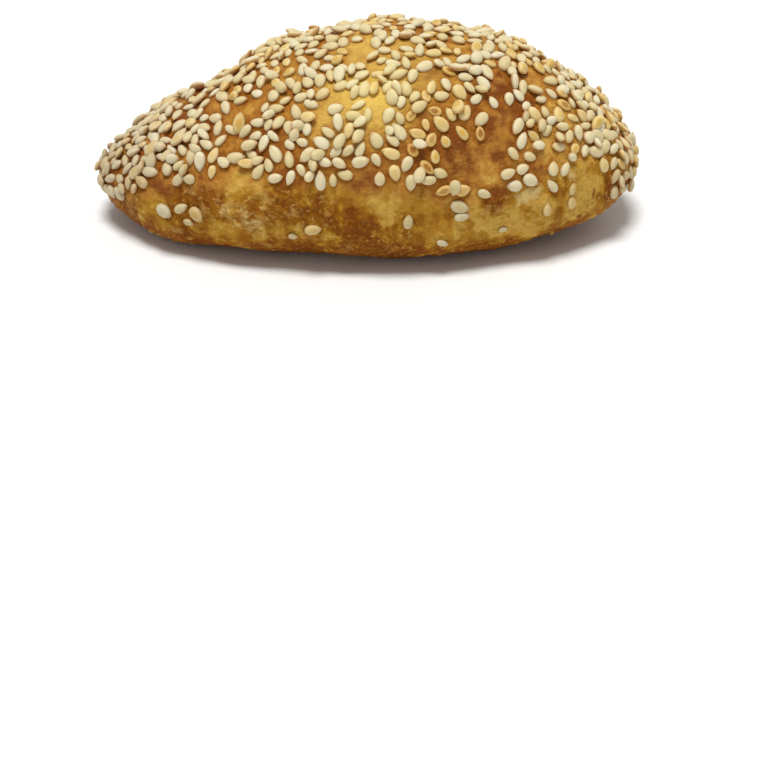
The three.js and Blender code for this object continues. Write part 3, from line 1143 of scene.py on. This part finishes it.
def sesame_tree(name, sizes, material):
    """Drops of uneven proportions, laid on the crust at each point by its heading, size and lean."""
    tree, inputs, outputs = geometry_tree(name, sizes)
    uneven = random_vector(tree, (1, 1, 1), calculate(tree, "ADD", inputs["Seed"], 1.0))
    uneven = calculate_vector(tree, "SCALE", uneven, scale=inputs["Unevenness"])
    proportions = calculate_vector(tree, "ADD", uneven, (1, 1, 1))
    scattered = add_node(
        tree, "GeometryNodeInstanceOnPoints",
        Points=laid_points(tree, inputs), Instance=drop_mesh(tree, inputs),
        Rotation=seed_rotation(tree, inputs),
        Scale=calculate_vector(tree, "SCALE", proportions, scale=named_value(tree, "size")),
    )
    real = add_node(tree, "GeometryNodeRealizeInstances", Geometry=scattered.outputs[0])
    rounded = add_node(tree, "GeometryNodeSetShadeSmooth", Geometry=real.outputs[0])
    finished = add_node(
        tree, "GeometryNodeSetMaterial", Geometry=rounded.outputs[0], Material=material
    )
    tree.links.new(finished.outputs[0], outputs["Geometry"])
    return tree


def make_seeds(seeds, crust):
    """One piece for each kind of seed: pale, golden and toasted."""
    points = seeds["point"]
    draws = random_numbers(2 * len(points), TONE_START).reshape(-1, 2)
    near_spot = nearness(points, *TOASTED_SPOT)
    blunt_end = smooth(0, LENGTH / 2, points[:, 0])
    pointed_end = smooth(LENGTH / 6, LENGTH / 2, -points[:, 0])
    toasted_share = TOASTED_SHARE + TOASTED_SPOT_SHARE * near_spot
    golden_share = GOLDEN_SHARE + GOLDEN_SPOT_SHARE * near_spot + GOLDEN_END_SHARE * blunt_end
    is_toasted = draws[:, 0] < toasted_share
    is_golden = ~is_toasted & (draws[:, 0] < toasted_share + golden_share)
    chosen_seeds = {
        "sesame_pale": ~(is_toasted | is_golden),
        "sesame_golden": is_golden,
        "sesame_toasted": is_toasted,
    }
    carried = {
        **{key: values for key, values in seeds.items() if key != "point"},
        "tone": draws[:, 1],
        "dusky": DUSKY_END * pointed_end,
        "dull": 1 - smooth(*LOW_SHADE_HEIGHTS, points[:, 2]),
        "yellow": np.clip(SEED_YELLOWING * summed(points, YELLOW_PATCHES), 0, 1),
    }
    pieces = []
    for name, (hollow, *colours) in SEED_KINDS.items():
        chosen = chosen_seeds[name]
        attributes = {key: values[chosen] for key, values in carried.items()}
        piece = piece_from(name, points[chosen], (), attributes)
        sizes = {**SEED_FORM, "Hollow": hollow, "Crust": crust}
        shape_with(piece, sesame_tree(name, sizes, seed_material(name, *colours)), sizes)
        pieces.append(piece)
    return pieces


# The stage

def make_floor():
    """A plain floor for the stage."""
    corners = [(-1, -1), (1, -1), (1, 1), (-1, 1)]
    points = [(x * FLOOR_REACH, y * FLOOR_REACH, 0) for x, y in corners]
    floor = piece_from("floor", points, [(0, 1, 2, 3)])
    floor.data.materials.append(floor_material())


def add_light(name, kind, place, strength):
    """A light that faces the bun."""
    light = bpy.data.lights.new(name, kind)
    light.energy = strength
    lamp = bpy.data.objects.new(name, light)
    lamp.location = Vector(place) * MM
    lamp.rotation_euler = (-lamp.location).to_track_quat("-Z", "Y").to_euler()
    bpy.context.scene.collection.objects.link(lamp)
    return light


def light_stage():
    """Soft light from above over the whole floor, two weak fills and a pale room."""
    overhead = add_light("overhead", "SUN", OVERHEAD_PLACE, OVERHEAD_STRENGTH)
    overhead.angle = math.radians(OVERHEAD_SPREAD)
    for name, place, power in FILL_LIGHTS:
        add_light(name, "AREA", place, power).size = FILL_SIZE * MM
    world = bpy.data.worlds.new("pale_room")
    world.use_nodes = True
    tree = world.node_tree
    seen = tree.nodes.new("ShaderNodeLightPath").outputs["Is Camera Ray"]
    strength = ranged(tree, seen, 0, 1, ROOM_STRENGTH, BACKDROP_STRENGTH)
    background = tree.nodes["Background"]
    background.inputs["Color"].default_value = (1, 1, 1, 1)
    tree.links.new(strength, background.inputs["Strength"])
    bpy.context.scene.world = world
    bpy.context.scene.view_settings.view_transform = "Standard"


def place_camera():
    """A camera where the photograph was taken."""
    lift = math.radians(CAMERA_ELEVATION)
    place = Vector((0, -math.cos(lift), math.sin(lift))) * CAMERA_DISTANCE
    place.z += CAMERA_TARGET_HEIGHT
    camera = bpy.data.objects.new("camera", bpy.data.cameras.new("camera"))
    camera.data.lens = LENS
    camera.data.clip_start = CAMERA_CLIP * MM
    camera.location = place * MM
    look = (Vector(CAMERA_AIM) - place).to_track_quat("-Z", "Y")
    camera.rotation_euler = (look @ Quaternion((0, 0, 1), math.radians(CAMERA_ROLL))).to_euler()
    bpy.context.scene.collection.objects.link(camera)
    bpy.context.scene.camera = camera


# The scene

place_camera()
make_floor()
light_stage()

seeds = scatter_seeds()
seed_places = piece_from("seed_places", seeds["point"])
crust = make_crust(seed_places)
seed_pieces = make_seeds(seeds, crust)
bpy.data.objects.remove(seed_places)

for piece, slot in [(crust, "crust"), *[(piece, "sesame") for piece in seed_pieces]]:
    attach(piece, "root")
    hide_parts("pogaca")
